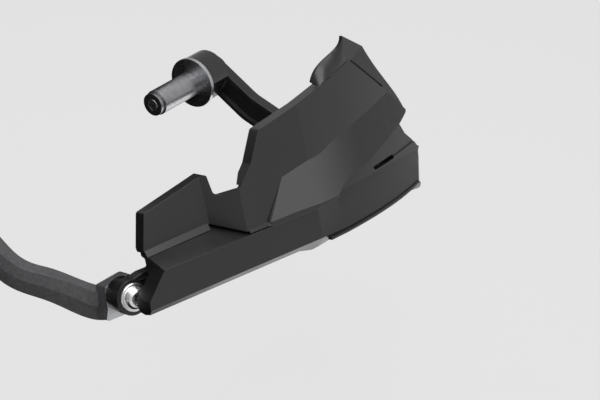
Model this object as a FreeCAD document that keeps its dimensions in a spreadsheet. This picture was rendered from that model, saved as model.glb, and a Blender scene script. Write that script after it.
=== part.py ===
import FreeCAD, Part
import math
import os
import re
import Sketcher
from FreeCAD import Placement, Rotation, Vector

# Motorcycle hand guard, left end of a handlebar, in millimetres.
# Frame of the whole part: X along the handlebar axis towards its free end, Y to the rider, Z up.
# The origin is on the bar axis where the guard's ring meets the end of the grip.
# Guard frame of the two mouldings: x outboard along the face, y into the guard, z up the face,
# with its origin on the axis of the inner pivot screw. It is turned by face_heading and leans by face_lean.

SIZES = [
    # Handlebar, and the places of the two fixings on it
    ("bar_radius", 11.1),
    ("bar_inner_radius", 8.8),
    ("clamp_x", -222.0),
    ("pivot_x", -186.7),
    ("pivot_y", -104.0),
    ("pivot_z", -37.5),
    ("eye_x", 1.3),
    ("eye_z", -1.0),
    ("bar_height", 1.0),
    ("face_heading", 16.0),
    ("face_lean", 17.0),
    ("clearance", 0.3),
    ("thread_gap", 0.05),
    ("chamfer", 0.5),
    # Forged backbone
    ("backbone_thick", 8.0),
    ("backbone_tall", 20.0),
    ("rim_tall", 3.6),
    ("web_recess", 2.0),
    ("backbone_front", -2.0),
    ("inner_eye_radius", 11.0),
    ("outer_eye_radius", 10.6),
    ("outer_eye_x", 20.5),
    ("twist_start", 130.0),
    ("corner_radius", 42.0),
    ("leg_bend_y", -32.0),
    ("leg_bend_z", -19.0),
    ("leg_level", 12.0),
    ("bolt_bore", 4.25),
    # Face of the shell: straight to the bend, then one arc to the outer corner
    ("wall", 3.0),
    ("face_front", 20.0),
    ("bend_x", 128.0),
    ("bend_angle", 7.4),
    ("face_arc", 403.0),
    ("drop_length", 22.0),
    ("outer_x", 239.6),
    ("outer_tilt", 43.0),
    ("outer_corner", 9.0),
    ("outer_turn", 62.0),
    ("outer_return", 9.0),
    ("face_bottom", -8.3),
    ("face_bevel", 3.5),
    ("floor_depth", 14.0),
    ("crease_height", 15.2),
    ("ledge_depth", 18.0),
    ("ledge_rise_inner", 5.4),
    ("ledge_rise_outer", 7.7),
    ("upright_top", 35.0),
    ("end_wall_depth", 15.5),
    ("lip_bottom", -8.8),
    ("lip_proud", 1.3),
    ("lip_tall", 2.4),
    ("ridge_height", 12.3),
    ("ridge_depth", 3.3),
    ("panel_recess", 0.8),
    ("slot_tall", 2.6),
    ("slot_depth", 5.0),
    # Deflector
    ("deflector_step", 1.0),
    ("return_depth", 9.0),
    ("return_wall", 2.6),
    ("lip_wall", 2.0),
    ("web_start", 60.0),
    ("web_end", 75.0),
    ("web_slack", 1.6),
    ("boss_proud", 0.1),
    ("band_angle", 6.0),
    ("band_crease", 41.9),
    ("band_rise", 0.192),
    ("foot_proud", 2.4),
    ("foot_tall", 3.4),
    ("groove_width", 1.3),
    # Pivot stack
    ("pivot_spacer_radius", 10.6),
    ("pivot_spacer_length", 6.0),
    ("end_plate_thick", 11.0),
    ("thread_radius", 4.0),
    ("collar_radius", 8.75),
    ("collar_thick", 1.4),
    ("button_radius", 7.0),
    ("button_tall", 4.2),
    ("lobe_outer", 3.6),
    ("lobe_inner", 2.7),
    ("recess_depth", 3.2),
    ("washer_radius", 8.0),
    ("washer_thick", 1.6),
    # Bar end
    ("ring_radius", 17.9),
    ("ring_thick", 2.6),
    ("spacer_radius", 17.2),
    ("spacer_flat", 13.5),
    ("spacer_flat_turn", 210.0),
    ("sleeve_length", 38.0),
    ("sleeve_slit", 1.6),
    ("cone_length", 16.0),
    ("cone_small_radius", 6.0),
    ("cone_large_radius", 8.0),
    ("cone_past_sleeve", 4.0),
    ("slit_root", 5.0),
    ("bolt_head_radius", 6.5),
    ("bolt_head_tall", 4.4),
    ("bolt_hex", 3.4),
    ("bolt_hex_depth", 2.6),
    # Clamp and arm
    ("clamp_width", 18.0),
    ("clamp_wall", 6.4),
    ("clamp_gap", 2.0),
    ("clamp_screw_offset", 17.0),
    ("clamp_lug", 7.0),
    ("clamp_pitch", 45.0),
    ("clamp_screw_radius", 3.0),
    ("clamp_screw_grip", 10.0),
    ("clamp_head_radius", 5.0),
    ("clamp_head_tall", 6.0),
    ("clamp_hex", 2.9),
    ("clamp_hex_depth", 3.0),
    ("clamp_washer_radius", 6.0),
    ("clamp_washer_thick", 1.2),
    # Small fixings of the two mouldings
    ("shell_boss_radius", 6.5),
    ("shell_screw_radius", 2.5),
    ("shell_insert_radius", 3.6),
    ("shell_insert_length", 8.0),
    ("shell_head_radius", 4.6),
    ("shell_head_tall", 2.8),
    ("shell_washer_radius", 5.5),
    ("deflector_boss_radius", 5.0),
    ("deflector_screw_radius", 2.0),
    ("deflector_insert_radius", 2.9),
    ("deflector_insert_length", 4.6),
    ("deflector_head_radius", 3.8),
    ("deflector_head_tall", 2.4),
    ("deflector_washer_radius", 6.2),
    ("small_washer_thick", 1.0),
    ("small_hex", 1.6),
    ("small_hex_depth", 1.6),
]

# Places along the guard, x and height, of the screws that hold the mouldings
SHELL_FIXINGS = [34.0, 80.0, 122.0]
DEFLECTOR_FIXINGS = [(36.0, 28.5), (98.0, 27.0), (160.0, 34.5), (206.0, 40.5)]

doc = FreeCAD.newDocument("hand_guard")
sheet = doc.addObject("Spreadsheet::Sheet", "Sizes")
for row, (alias, value) in enumerate(SIZES, start=1):
    sheet.set(f"A{row}", alias)
    sheet.set(f"B{row}", str(value))
    sheet.setAlias(f"B{row}", alias)
doc.recompute()
nodes = []


def size(alias):
    return float(sheet.get(alias))


def keep(label, shape, place=None):
    """Adds one finished piece, whose label names its file."""
    feature = doc.addObject("Part::Feature", label)
    feature.Label = label
    feature.Shape = shape
    if place is not None:
        feature.Placement = place
    nodes.append(feature)
    return feature


# Plane geometry shared by the pieces


def offset_line(points, distance):
    """An open line of 2-D points moved to its left by distance, with mitred corners."""
    moved = []
    last = len(points) - 1
    for i, (px, py) in enumerate(points):
        normals = []
        for a, b in ((i - 1, i), (i, i + 1)):
            if a >= 0 and b <= last:
                dx = points[b][0] - points[a][0]
                dy = points[b][1] - points[a][1]
                length = math.hypot(dx, dy)
                normals.append((-dy / length, dx / length))
        nx = sum(n[0] for n in normals) / len(normals)
        ny = sum(n[1] for n in normals) / len(normals)
        scale = distance / (nx * nx + ny * ny)
        moved.append((px + nx * scale, py + ny * scale))
    return moved


def inset_outline(points, distances):
    """A closed outline whose edge i, from point i to the next, moves inward by distances[i]."""
    count = len(points)
    lines = []
    for i in range(count):
        ax, ay = points[i]
        bx, by = points[(i + 1) % count]
        length = math.hypot(bx - ax, by - ay)
        nx, ny = (by - ay) / length, -(bx - ax) / length
        lines.append((nx, ny, nx * ax + ny * ay + distances[i]))
    corners = []
    for i in range(count):
        a1, b1, c1 = lines[i - 1]
        a2, b2, c2 = lines[i]
        det = a1 * b2 - a2 * b1
        corners.append(((c1 * b2 - c2 * b1) / det, (a1 * c2 - a2 * c1) / det))
    return corners


def rounded_wire(points, radii):
    """A closed wire through 3-D points, each corner rounded by its radius."""
    count = len(points)
    ends = []
    for i in range(count):
        here = points[i]
        back = (points[i - 1] - here).normalize()
        ahead = (points[(i + 1) % count] - here).normalize()
        half = back.getAngle(ahead) / 2
        reach = radii[i] / math.tan(half)
        middle = (back + ahead).normalize() * (radii[i] / math.sin(half) - radii[i])
        ends.append((here + back * reach, here + middle, here + ahead * reach))
    edges = []
    for i in range(count):
        first, middle, last = ends[i]
        if radii[i] > 0:
            edges.append(Part.Arc(first, middle, last).toShape())
        following = ends[(i + 1) % count][0]
        if last.distanceToPoint(following) > 1e-6:
            edges.append(Part.makeLine(last, following))
    return Part.Wire(edges)


def polygon_face(points):
    return Part.Face(Part.makePolygon(points + [points[0]]))


def front_prism(outline, radii=None):
    """A prism through the whole guard, drawn in its front view as x and height."""
    points = [Vector(x, -80, z) for x, z in outline]
    wire = rounded_wire(points, radii) if radii else Part.makePolygon(points + [points[0]])
    return Part.Face(wire).extrude(Vector(0, 160, 0))


def fuse(shapes):
    return shapes[0].multiFuse(shapes[1:]).removeSplitter()


def cylinder(radius, length, base, direction):
    return Part.makeCylinder(radius, length, base, direction)


# Pieces bound to the sheet: turned ones from half profiles, others from primitives


def bound(text):
    """An expression with every alias in it pointed at the sheet."""
    aliases = {alias for alias, value in SIZES}
    return re.sub(r"[a-z_]+", lambda word: "Sizes." + word[0] if word[0] in aliases else word[0], text)


def value_of(text):
    return float(sheet.evalExpression(bound(text)))


def origin_plane(body, role):
    for feature in body.Origin.OriginFeatures:
        if feature.Role == role:
            return feature
    raise ValueError(role)


def pin(sketch, index, places, texts):
    """Ties the start of line index to its place across and up, given as two expressions."""
    for kind, axis, place, text in zip(("DistanceX", "DistanceY"), (-2, -1), places, texts):
        if abs(place) < 1e-9:
            sketch.addConstraint(Sketcher.Constraint("PointOnObject", index, 1, axis))
        else:
            number = sketch.addConstraint(Sketcher.Constraint(kind, -1, 1, index, 1, place))
            sketch.setExpression(f"Constraints[{number}]", bound(text))


def closed_sketch(body, name, role, outline):
    """A sketch of straight lines on an origin plane, from (across, up) expressions."""
    sketch = body.newObject("Sketcher::SketchObject", name)
    sketch.AttachmentSupport = [(origin_plane(body, role), "")]
    sketch.MapMode = "FlatFace"
    places = [Vector(value_of(across), value_of(up), 0) for across, up in outline]
    count = len(places)
    for i in range(count):
        sketch.addGeometry(Part.LineSegment(places[i], places[(i + 1) % count]), False)
    for i in range(count):
        sketch.addConstraint(Sketcher.Constraint("Coincident", i, 2, (i + 1) % count, 1))
    for i, texts in enumerate(outline):
        pin(sketch, i, (places[i].x, places[i].y), texts)
    return sketch


def turned(label, profile):
    """A body of revolution about +Z, from a closed profile of (radius, height) expressions."""
    body = doc.addObject("PartDesign::Body", label)
    body.Label = label
    turn = body.newObject("PartDesign::Revolution", label + "_turn")
    turn.Profile = closed_sketch(body, label + "_profile", "XZ_Plane", profile)
    turn.ReferenceAxis = (turn.Profile[0], ["V_Axis"])
    turn.Angle = 360
    return body


def socket(body, corners, top, depth):
    """A recess sunk into the top of a turned head: corners holds the radii of a sixth of it."""
    outline = []
    count = 6 * len(corners)
    for i in range(count):
        radius = corners[i % len(corners)]
        outline.append((f"({radius}) * cos({i * 360 / count} deg)", f"({radius}) * sin({i * 360 / count} deg)"))
    sketch = closed_sketch(body, body.Label + "_socket", "XY_Plane", outline)
    sketch.setExpression("AttachmentOffset.Base.z", bound(top))
    pocket = body.newObject("PartDesign::Pocket", body.Label + "_recess")
    pocket.Profile = sketch
    pocket.setExpression("Length", bound(depth))
    body.Tip = pocket


def screw(label, radius, length, head):
    """A screw on Z, seated at 0: its shank below, its head's profile above."""
    tip = f"-({length})"
    shank = [("0", tip), (f"{radius} - chamfer", tip), (radius, f"{tip} + chamfer"), (radius, "0")]
    return turned(label, shank + head + [("0", head[-1][1])])


def cap_head(radius, tall):
    """Profile of a cylindrical screw head with a broken edge."""
    return [(radius, "0"), (radius, f"{tall} - chamfer"), (f"{radius} - chamfer", tall)]


def button_head(radius, tall, low="0"):
    """Profile of a domed screw head that starts at height low."""
    steps = ((1, 0), (0.95, 0.4), (0.8, 0.78), (0.6, 1))
    return [(f"{radius} * {across}", f"{low} + {tall} * {up}") for across, up in steps]


def ring(label, inner, outer, height):
    return turned(label, [(inner, "0"), (outer, "0"), (outer, height), (inner, height)])


def primitive(kind, label, place=None, **sizes):
    """A Part primitive whose sizes are bound to the sheet."""
    item = doc.addObject("Part::" + kind, label)
    for name, text in sizes.items():
        item.setExpression(name, bound(text))
    if place is not None:
        item.Placement = place
    return item


def combine(kind, label, base, tool):
    item = doc.addObject("Part::" + kind, label)
    item.Base = base
    item.Tool = tool
    return item


def place_node(item, place):
    """Puts a bound piece in its place and keeps it as a node."""
    item.Placement = place
    nodes.append(item)


def group(label, master, places):
    """One node of like pieces, each a copy of master at its place."""
    doc.recompute()
    copies = []
    for place in places:
        copy = master.Shape.copy()
        copy.Placement = place
        copies.append(copy)
    keep(label, Part.makeCompound(copies))


guard_turn = Rotation(Vector(0, 0, 1), -size("face_heading")) * Rotation(Vector(1, 0, 0), -size("face_lean"))
pivot = Vector(size("pivot_x"), size("pivot_y"), size("pivot_z"))
guard = Placement(pivot, guard_turn)
level = Placement(pivot, Rotation(Vector(0, 0, 1), -size("face_heading")))


# Plan line of the face, in the guard frame

bend = math.radians(size("bend_angle"))
arc = size("face_arc")
arc_centre = Vector(
    size("bend_x") - arc * math.sin(bend),
    -size("face_front") + arc * math.cos(bend),
    0,
)
outer_heading = math.asin((size("outer_x") - arc_centre.x) / arc)


def on_arc(heading, depth):
    radius = arc - depth
    return Vector(
        arc_centre.x + radius * math.sin(heading),
        arc_centre.y - radius * math.cos(heading),
        0,
    )


def station(x, depth):
    """Point and heading of the plan line at x, moved into the guard by depth."""
    if x <= size("bend_x"):
        return Vector(x, -size("face_front") + depth, 0), 0.0
    heading = math.asin((x - arc_centre.x) / arc)
    return on_arc(heading, depth), heading


def spot(x, height, depth):
    """Place on the plan line, in the guard frame, with +Z pointing into the guard."""
    place, heading = station(x, depth)
    place.z = height
    inward = Vector(-math.sin(heading), math.cos(heading), 0)
    return Placement(place, Rotation(Vector(0, 0, 1), inward))


def wall_outline(outer):
    """The outline of a wall, from its outer line of (depth, height) points."""
    return outer + offset_line(outer, -size("wall"))[::-1]


def tilted_up(heading, tilt):
    """The upward direction of a section that leans outboard by tilt degrees."""
    lean = math.radians(tilt)
    return Vector(math.cos(heading) * math.sin(lean), math.sin(heading) * math.sin(lean), math.cos(lean))


def section_at(x, outline, tilt=0):
    """An outline of (depth, height) points, stood across the plan line at x."""
    place, heading = station(x, 0)
    mitre = 1.0
    if x == size("bend_x"):
        heading = bend / 2
        mitre = 1 / math.cos(heading)
    inward = Vector(-math.sin(heading), math.cos(heading), 0) * mitre
    up = tilted_up(heading, tilt)
    points = [place + inward * d + up * h for d, h in outline]
    return Part.makePolygon(points + [points[0]])


def run_around(outline_at, first_x):
    """A moulding's run along the arc, round the outer corner and a little way back."""
    full_x = size("bend_x") + size("drop_length")
    end_x = size("outer_x")
    steps = 4
    growing = Part.makeLoft([section_at(x, outline_at(x)) for x in (first_x, full_x)], True, True)
    sections = []
    for i in range(steps + 1):
        x = full_x + (end_x - full_x) * i / steps
        sections.append(section_at(x, outline_at(x), size("outer_tilt") * (i / steps) ** 2))
    along = Part.makeLoft(sections, True, False)
    last = Part.Face(sections[-1])
    centre = station(end_x, size("outer_corner"))[0]
    axis = tilted_up(outer_heading, size("outer_tilt"))
    turn = last.revolve(centre, axis, size("outer_turn"))
    last.rotate(centre, axis, size("outer_turn"))
    onward = axis.cross(Vector(-math.sin(outer_heading), math.cos(outer_heading), 0)) * -1
    back = last.extrude(Rotation(axis, size("outer_turn")).multVec(onward) * size("outer_return"))
    return [growing, along, turn, back]


def arc_slab(first_depth, last_depth):
    """The space between two depths behind the curved part of the face."""
    reach = outer_heading + math.radians(3)
    middle = (bend + reach) / 2
    front = [on_arc(a, first_depth) for a in (bend, middle, reach)]
    rear = [on_arc(a, last_depth) for a in (bend, middle, reach)]
    edges = [
        Part.Arc(*front).toShape(),
        Part.makeLine(front[2], rear[2]),
        Part.Arc(*rear[::-1]).toShape(),
        Part.makeLine(rear[0], front[0]),
    ]
    face = Part.Face(Part.Wire(edges))
    face.translate(Vector(0, 0, -40))
    return face.extrude(Vector(0, 0, 180))


# Sizes that several pieces share

FACE = -size("face_front")
WALL = size("wall")
GAP = size("clearance")
panel_back = size("deflector_step") + WALL + GAP
wing_back = size("ledge_depth") + WALL + GAP
web_fold = size("web_start") + size("web_slack")
backbone_depth = size("face_front") - size("backbone_front")
backbone_middle = -size("backbone_front") + size("backbone_thick") / 2


def ledge_height(x, depth):
    """Height of the ledge's top at x, depth behind the face."""
    share = min(max(x / size("web_start"), 0), 1)
    rise = size("ledge_rise_inner") + share * (size("ledge_rise_outer") - size("ledge_rise_inner"))
    return size("crease_height") + rise * depth / size("ledge_depth")


# Moulded shell

def shell_outer_line(x):
    """Outer line of the shell's wall at x, from the back of its floor up to its top edge."""
    past = x - size("bend_x")
    low = min(max(past / size("drop_length"), 0), 1)
    bottom = size("face_bottom") + low * (size("lip_bottom") - size("face_bottom"))
    bevel = size("face_bevel") * (1 - 0.2 * low)
    floor = size("floor_depth") * (1 - 0.55 * low)
    crease_z = size("crease_height") + low * (size("ridge_height") - size("crease_height"))
    crease = (size("ridge_depth") * low, crease_z)
    if x <= web_fold:
        upper = (wing_back, ledge_height(x, wing_back))
    else:
        upper = (panel_back, size("crease_height") + 1.2)
    top = size("upright_top") + low * 7 + max(past - size("drop_length"), 0) * 0.09
    return [(floor, bottom), (bevel, bottom), (0, bottom + bevel), crease, upper, (upper[0], top)]


def shell_wall():
    def outline_at(x):
        return wall_outline(shell_outer_line(x))

    stops = [-6.0, web_fold, size("web_end") + 3, size("bend_x")]
    straight = Part.makeLoft([section_at(x, outline_at(x)) for x in stops], True, True)
    return fuse([straight] + run_around(outline_at, size("bend_x")))


def shell_lip():
    """The bead along the bottom of the curved part."""
    def outline_at(x):
        bottom = shell_outer_line(x)[0][1]
        out = size("lip_proud")
        tall = size("lip_tall")
        return [(2.0, bottom), (-out, bottom), (-out, bottom + tall * 0.6), (1.0, bottom + tall), (2.0, bottom + tall)]

    return run_around(outline_at, size("bend_x") + 6)


# Left edge of the shell in its front view, from the top down
SHELL_END = [(13.2, 90.0), (13.6, 15.2), (-0.5, 0.2), (-0.8, -5.0), (-0.3, -9.6)]


def shell_end_wall():
    """The wall that closes the inner end in front of the backbone."""
    edges = SHELL_END + offset_line(SHELL_END, WALL)[::-1]
    shallow = size("end_wall_depth")
    floor = size("face_bottom")
    bevel = size("face_bevel")
    deep = wing_back - 0.5
    side = [
        (0.2, floor + bevel),
        (0.2, size("crease_height")),
        (deep, ledge_height(13, deep) - 0.4),
        (deep, size("inner_eye_radius") + 2.5),
        (shallow - 1.5, size("inner_eye_radius") + 0.5),
        (shallow - 1.2, 3.0),
        (shallow, -2.4),
        (shallow - 0.2, -5.9),
        (shallow - 1.6, floor - 0.1),
        (9.0, floor - 0.9),
        (bevel, floor + 0.2),
    ]
    solid = polygon_face([Vector(-6, FACE + d, h) for d, h in side]).extrude(Vector(40, 0, 0))
    return solid.common(front_prism(edges))


# Front view of what is cut from the shell's top outer corner, and of the room for the deflector's return
SHELL_CORNER = [(229.1, 38.4), (235.5, 28.0), (243.6, 21.0), (250.0, 13.0), (300.0, 13.0), (300.0, 90.0), (229.1, 90.0)]
RETURN_ROOM = [(0.0, 22.2), (16.2, 22.2), (16.6, 25.6), (22.0, 48.0), (22.0, 60.0), (0.0, 60.0)]
# Front view of the chin that widens the lower bevel under the bend
CHIN = [(109.0, -7.9), (123.0, -12.2), (148.0, -9.3), (148.0, -6.0), (109.0, -6.0)]


def shell_chin():
    """The bevel carried on downwards under the bend."""
    floor = size("face_bottom")
    bevel = size("face_bevel")
    outline = [(bevel - 2, floor + 2), (bevel + 6, floor - 6), (bevel + 10, floor - 6), (bevel + 2, floor + 2)]
    stops = (105.0, size("bend_x"), 149.0)
    return Part.makeLoft([section_at(x, outline) for x in stops], True, True).common(front_prism(CHIN))


def shell_boss(x):
    """A screw boss and its rib, from the inside of the face back to the backbone."""
    start = WALL - 0.6
    height = size("bar_height")
    boss = cylinder(
        size("shell_boss_radius"),
        backbone_depth - start,
        Vector(x, FACE + start, height),
        Vector(0, 1, 0),
    )
    rib_bottom = size("face_bottom") + WALL * 0.8
    rib_top = size("crease_height") - 0.5
    rib = Part.makeBox(2, 10, rib_top - rib_bottom, Vector(x - 1, FACE + start, rib_bottom))
    return boss.fuse(rib)


def fixing_hole(radius, spot, length):
    """A hole that runs from spot out of the guard, against the spot's inward direction."""
    back = spot.Rotation.multVec(Vector(0, 0, 1))
    return cylinder(radius, length, spot.Base, back * -1)


def upright_back(x):
    return (wing_back if x < size("web_start") else panel_back) + WALL


def boss_top(x):
    """Depth of the deflector's bosses, which stand through the upright and just proud of it."""
    return upright_back(x) + size("boss_proud")


def slot_outline(top, margin):
    """Front view of the blind slot under the deflector's end, grown by margin."""
    low = top - size("slot_tall") - margin
    high = top + margin
    return [(191.4 - margin, low), (191.4 - margin, high), (215.6 + margin, high + 0.2), (215.6 + margin, low + 0.2)]


def guard_shell():
    shape = fuse([shell_wall()] + shell_lip())
    kept = [(SHELL_END[-1][0], -30.0)] + SHELL_END[::-1] + [(300.0, 90.0), (300.0, -30.0)]
    shape = shape.common(front_prism(kept))
    shape = fuse([shape, shell_end_wall(), shell_chin()])
    shape = shape.cut(Part.makeCompound([front_prism(SHELL_CORNER), front_prism(RETURN_ROOM)]))
    sunk = [(182.5, 25.4), (191.8, 18.1), (260.0, 19.6), (260.0, 80.0), (182.5, 80.0)]
    recess = arc_slab(panel_back - 2, panel_back + size("panel_recess"))
    shape = shape.cut(recess.common(front_prism(sunk)))
    slot_top = 19.9
    floor = panel_back + size("slot_depth")
    pad = arc_slab(panel_back + WALL - 1, floor + WALL).common(front_prism(slot_outline(slot_top, WALL)))
    slot = arc_slab(0, floor).common(front_prism(slot_outline(slot_top, 0), [1.0] * 4))
    shape = shape.fuse(pad).cut(slot)
    shape = shape.multiFuse([shell_boss(x) for x in SHELL_FIXINGS])
    holes = []
    for x in SHELL_FIXINGS:
        place = spot(x, size("bar_height"), backbone_depth)
        radius = size("shell_insert_radius") + size("thread_gap")
        holes.append(fixing_hole(radius, place, size("shell_insert_length")))
    for x, height in DEFLECTOR_FIXINGS:
        place = spot(x, height, upright_back(x) + 1)
        holes.append(fixing_hole(size("deflector_boss_radius") + GAP, place, WALL + 2))
    return shape.cut(Part.makeCompound(holes)).removeSplitter()


# Moulded deflector

# Front view outline, from the wing's lower corner clockwise, with each corner's radius
DEFLECTOR = [
    (13.0, 22.6, 0.5),
    (12.6, 25.4, 1.0),
    (18.0, 45.9, 2.0),
    (62.9, 56.0, 1.0),
    (64.4, 41.9, 3.0),
    (76.0, 44.8, 0.6),
    (86.6, 56.4, 6.0),
    (96.6, 74.9, 2.0),
    (164.9, 90.3, 4.0),
    (181.9, 95.2, 0.0),
    (211.8, 67.8, 4.0),
    (234.5, 45.1, 1.5),
    (223.6, 40.2, 4.0),
    (179.5, 27.8, 8.0),
    (161.0, 26.2, 5.0),
    (152.0, 21.5, 5.0),
    (146.0, 16.9, 3.0),
    (115.0, 18.2, 5.0),
    (91.3, 18.2, 3.0),
    (75.0, 17.4, 1.0),
    (60.0, 25.3, 0.5),
]
# How far the hollow runs out past each edge, from the first corner on: none where the wall returns
RETURNS = [None] * 4 + [1] + [None] * 4 + [12] * 12


def sheet_line(shift):
    """Front line of the deflector in plan, moved inward by shift, and the arc that ends it."""
    wing_y = FACE + size("ledge_depth")
    panel_y = FACE + size("deflector_step")
    front = [
        (0.0, wing_y),
        (size("web_start"), wing_y),
        (size("web_end"), panel_y),
        (size("bend_x"), panel_y),
    ]
    depth = size("deflector_step") + shift
    start = math.acos((arc * math.cos(bend) - depth) / (arc - depth))
    end = outer_heading + math.radians(1)
    points = [Vector(x, y, 0) for x, y in offset_line(front, shift)]
    curve = [on_arc(a, depth) for a in (start, (start + end) / 2, end)]
    points[-1] = curve[0]
    return points, curve


def sheet_space(first, last):
    """The space between two depths behind the deflector's front."""
    points, curve = sheet_line(first)
    rear_points, rear_curve = sheet_line(last)
    edges = [Part.makeLine(a, b) for a, b in zip(points, points[1:])]
    edges.append(Part.Arc(*curve).toShape())
    edges.append(Part.makeLine(curve[2], rear_curve[2]))
    edges.append(Part.Arc(*rear_curve[::-1]).toShape())
    rear_points = rear_points[::-1]
    edges += [Part.makeLine(a, b) for a, b in zip(rear_points, rear_points[1:])]
    edges.append(Part.makeLine(rear_points[-1], points[0]))
    face = Part.Face(Part.Wire(edges))
    face.translate(Vector(0, 0, -10))
    return face.extrude(Vector(0, 0, 140))


def band():
    """The raised facet along the lower edge: it tips forward below its upper crease."""
    step = size("deflector_step")
    slope = math.tan(math.radians(size("band_angle")))
    rise = size("band_rise")
    first_x = 85.0
    bend_x = size("bend_x")

    def section(x, heading):
        crease = size("band_crease") + rise * (x - 107)
        low = crease - 34
        outline = [(step + 1, crease + 1 / slope), (step - 34 * slope, low), (step + 1, low)]
        inward = Vector(-math.sin(heading), math.cos(heading), 0)
        points = [station(x, 0)[0] + inward * d + Vector(0, 0, h) for d, h in outline]
        return Part.makePolygon(points + [points[0]])

    straight = Part.Face(section(first_x, 0)).extrude(Vector(1, 0, rise) * (bend_x - first_x))
    stops = [bend_x + size("drop_length") * i for i in range(6) if bend_x + size("drop_length") * i < size("outer_x")]
    stops.append(size("outer_x"))
    wires = [section(x, station(x, 0)[1]) for x in stops]
    turning = Part.makeLoft(wires[:2], True, True)
    curved = Part.makeLoft(wires[1:], True, False)
    left = [(85.9, 10.0), (107.0, 41.9), (107.0, 90.0), (290.0, 90.0), (290.0, 10.0)]
    return [part.common(front_prism(left)) for part in (straight, turning, curved)]


def wing_foot():
    """The bevel along the bottom of the wing, which leans forward onto the ledge."""
    depth = size("ledge_depth")
    out = size("foot_proud")

    def outline_at(x):
        top = ledge_height(x, depth) + size("foot_tall")
        return [
            (depth + 1, top),
            (depth, top),
            (depth - out, ledge_height(x, depth - out) + GAP),
            (depth + 1, ledge_height(x, depth + 1) + GAP),
        ]

    return Part.makeLoft([section_at(x, outline_at(x)) for x in (13.0, size("web_start") - 1)], True, True)


# Stations of the flared lip: inner edge on the panel, outer edge, how far the outer edge lies
# behind the panel's front, and how far the lip runs back into the panel
LIP_TOP = [
    ((150.5, 86.6), (151.4, 89.0), 7.0, 0.0),
    ((158.9, 90.3), (160.5, 99.1), 4.0, 1.0),
    ((170.0, 92.2), (171.2, 105.3), -1.0, 2.0),
    ((178.5, 94.4), (172.9, 112.6), -5.0, 2.5),
]
LIP_TIP = [
    ((178.5, 94.4), (172.9, 112.6), -5.0, 2.5),
    ((183.5, 93.5), (194.5, 100.2), -2.5, 2.5),
]
LIP_SIDE = [
    ((183.5, 93.5), (194.5, 100.2), -2.5, 2.5),
    ((197.0, 82.3), (208.6, 80.9), -1.0, 2.5),
    ((211.8, 67.8), (221.6, 65.0), -0.5, 2.5),
    ((230.2, 48.8), (235.2, 45.2), 0.0, 2.5),
]


def lip_run(stations):
    """A thin flared strip through its stations."""
    step = size("deflector_step")
    wires = []
    for (ix, iz), (ox, oz), behind, root in stations:
        base, heading = station(ix, step + 0.3)
        base.z = iz
        edge = station(ox, step + behind)[0] + Vector(0, 0, oz)
        base -= (edge - base).normalize() * root
        thick = Vector(-math.sin(heading), math.cos(heading), 0) * size("lip_wall")
        wires.append(Part.makePolygon([base, edge, edge + thick, base + thick, base]))
    return Part.makeLoft(wires, True, False)


def return_taper():
    """What is taken from the return beside the notch, which grows to its full depth up the panel's edge."""
    low, high = 44.8, 56.4
    rear = FACE + size("deflector_step") + WALL
    side = [(rear + 1.5, low - 4), (rear + 1.5, low), (rear + size("return_depth"), high), (40.0, high)]
    side.append((40.0, low - 4))
    first_x = size("web_end") + 0.5
    return polygon_face([Vector(first_x, y, z) for y, z in side]).extrude(Vector(15, 0, 0))


def wind_deflector():
    outline = [(x, z) for x, z, r in DEFLECTOR]
    radii = [r for x, z, r in DEFLECTOR]
    prism = front_prism(outline, radii)
    insets = [size("return_wall") if past is None else -past for past in RETURNS]
    hollow = front_prism(inset_outline(outline, insets))
    block = sheet_space(0, size("return_depth")).multiFuse(band()).common(prism)
    shape = block.cut([sheet_space(WALL, 20).common(hollow), return_taper()])
    pieces = [shape, wing_foot()]
    pieces += [lip_run(stations) for stations in (LIP_TOP, LIP_TIP, LIP_SIDE)]
    holes = []
    for x, height in DEFLECTOR_FIXINGS:
        length = WALL + GAP + size("boss_proud") + 0.5
        place = spot(x, height, boss_top(x))
        pieces.append(fixing_hole(size("deflector_boss_radius"), place, length))
        radius = size("deflector_insert_radius") + size("thread_gap")
        holes.append(fixing_hole(radius, place, size("deflector_insert_length")))
    groove_ends = [(182.6, 93.6), (212.0, 67.6)]
    across = offset_line(groove_ends, size("groove_width"))
    groove = sheet_space(-1, 1.2).common(front_prism(groove_ends + across[::-1]))
    return fuse(pieces).cut(Part.makeCompound(holes + [groove])).removeSplitter()


# Forged backbone

HALF_TALL = size("backbone_tall") / 2
THICK = size("backbone_thick")
WEB_HALF = HALF_TALL - size("rim_tall")
RECESS = size("web_recess")


def beam_outline():
    """Section of the bar, (across, height) from its middle: two rims and a thinner web."""
    quarter = [(THICK / 2, HALF_TALL), (THICK / 2, WEB_HALF), (THICK / 2 - RECESS, WEB_HALF)]
    right = quarter + [(a, -h) for a, h in quarter[::-1]]
    return right + [(-a, h) for a, h in right[::-1]]


def beam_section(frame, x, y, z):
    """The bar's section stood across a frame's x axis, in the frame of the whole part."""
    return [frame.multVec(Vector(x, y + a, z + h)) for a, h in beam_outline()]


def strip(points, half, radius, end_radius=0):
    """Outline on both sides of a centre line in the YZ plane, with its bends rounded."""
    sides = offset_line(points, half) + offset_line(points, -half)[::-1]
    bends = len(points) - 2
    radii = [end_radius] + [radius] * bends + [end_radius] * 2 + [radius] * bends + [end_radius]
    return rounded_wire([Vector(0, y, z) for y, z in sides], radii)


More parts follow.
